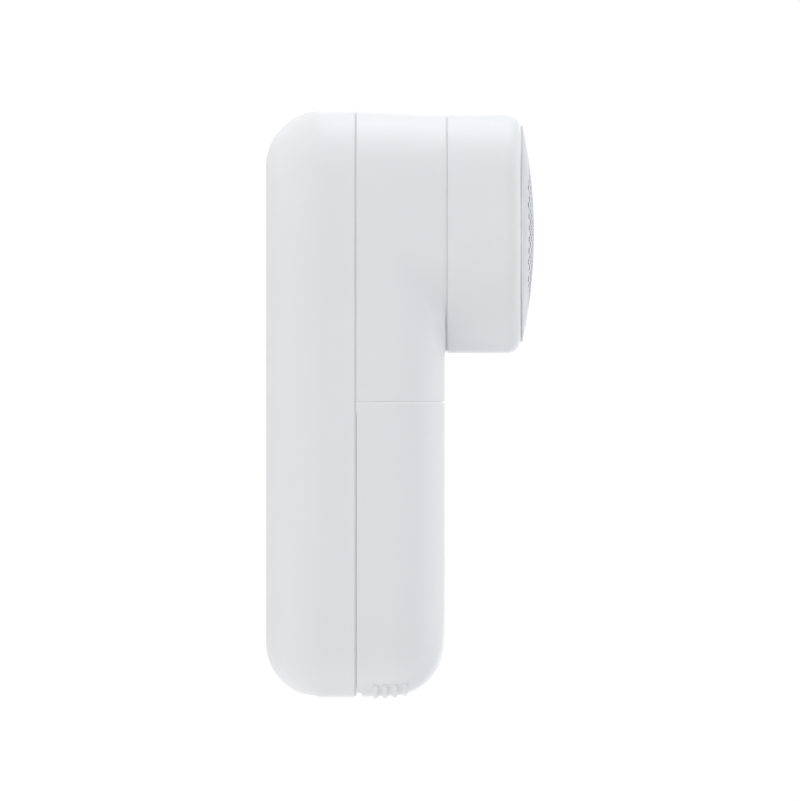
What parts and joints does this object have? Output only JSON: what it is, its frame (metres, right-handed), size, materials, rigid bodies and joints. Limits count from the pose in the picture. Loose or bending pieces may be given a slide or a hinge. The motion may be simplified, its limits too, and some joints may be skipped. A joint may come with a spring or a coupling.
{
  "type": "fabric shaver",
  "caption": "Cordless fabric shaver: rounded handle, round cutting head at right angles with a perforated domed foil, turning collar and a pull-off lint bin.",
  "frame": {"origin": "middle of the flat back, which the shaver lies on", "axes": "+Z out of the cutting head, +X along the handle towards the head, Y across the handle"},
  "size_m": [0.1444, 0.06, 0.0658],
  "materials": {
    "white_shell": "satin gloss white ABS",
    "white_insert": "matte white acetal",
    "button_white": "satin white ABS",
    "grey_frame": "matte light grey ABS",
    "dark_rubber": "matte",
    "steel_foil": "spun satin steel",
    "blade_steel": "ground steel",
    "spring_steel": "drawn wire",
    "shaft_steel": "ground",
    "motor_steel": "zinc plated",
    "core_steel": "laminated",
    "magnet": "sintered ferrite",
    "copper": "enamelled copper",
    "brass_metal": "tinned brass",
    "bronze": "sintered bronze",
    "screw_steel": "zinc plated",
    "nickel": "nickel plated",
    "cell_wrap": "shrink wrap over a steel can",
    "foam": "closed cell foam",
    "board_green": "solder mask",
    "chip_black": "moulded epoxy",
    "black_plastic": "matte",
    "led_white": "clear",
    "clear_plastic": "polished clear",
    "wire_red": "silicone insulation",
    "wire_black": "silicone insulation"
  },
  "bodies": {
    "housing": {"rear_shell": "white_shell", "front_shell": "white_shell", "mid_frame": "white_insert", "lint_chute": "grey_frame", "bin_seal": "dark_rubber", "shaft_seal": "dark_rubber", "motor_end_cap": "black_plastic", "motor_can": "motor_steel", "motor_magnets": "magnet", "motor_brushes": "copper", "motor_terminals": "brass_metal", "front_bush": "bronze", "rear_bush": "bronze", "motor_screws": "screw_steel", "chute_screws": "screw_steel", "frame_screws": "screw_steel", "front_screws": "screw_steel", "board_screws": "screw_steel", "battery_cell": "cell_wrap", "battery_tabs": "nickel", "battery_pad": "foam", "main_board": "board_green", "charge_board": "board_green", "board_parts": "chip_black", "tact_switch": "black_plastic", "status_light": "led_white", "light_pipe": "clear_plastic", "charge_socket": "nickel", "battery_leads": "wire_red", "charge_leads": "wire_black"},
    "power_button_body": {"power_button": "button_white", "switch_plunger": "white_insert"},
    "drive": {"motor_shaft": "shaft_steel", "rotor_core": "core_steel", "rotor_windings": "copper", "commutator": "copper", "drive_hub": "black_plastic", "cutter_spring": "spring_steel"},
    "cutter": {"cutter_carrier": "white_insert", "cutter_blades": "blade_steel"},
    "head_unit": {"foil": "steel_foil", "foil_frame": "grey_frame"},
    "collar": {"head_collar": "white_shell"},
    "lint_bin": {"bin_shell": "white_shell"}
  },
  "joints": [
    {"name": "button_press", "type": "slide", "parent": "housing", "child": "power_button_body", "axis": [0, 0, 1], "range_m": [0, 0.0008], "stiffness_N_per_m": 800},
    {"name": "rotor_spin", "type": "hinge", "parent": "housing", "child": "drive", "pos_m": [0.0419, 0, 0.05], "axis": [0, 0, 1], "continuous": true},
    {"name": "cutter_float", "type": "slide", "parent": "drive", "child": "cutter", "axis": [0, 0, 1], "range_m": [-0.0012, 0], "stiffness_N_per_m": 600, "deforming": ["cutter_spring"]},
    {"name": "head_lift", "type": "slide", "parent": "housing", "child": "head_unit", "axis": [0, 0, 1], "range_m": [0, 0.03]},
    {"name": "collar_twist", "type": "hinge", "parent": "head_unit", "child": "collar", "pos_m": [0.0419, 0, 0.055], "axis": [0, 0, 1], "range_deg": [-25, 0]},
    {"name": "bin_pull", "type": "slide", "parent": "housing", "child": "lint_bin", "axis": [0, 0, 1], "range_m": [0, 0.035]}
  ]
}
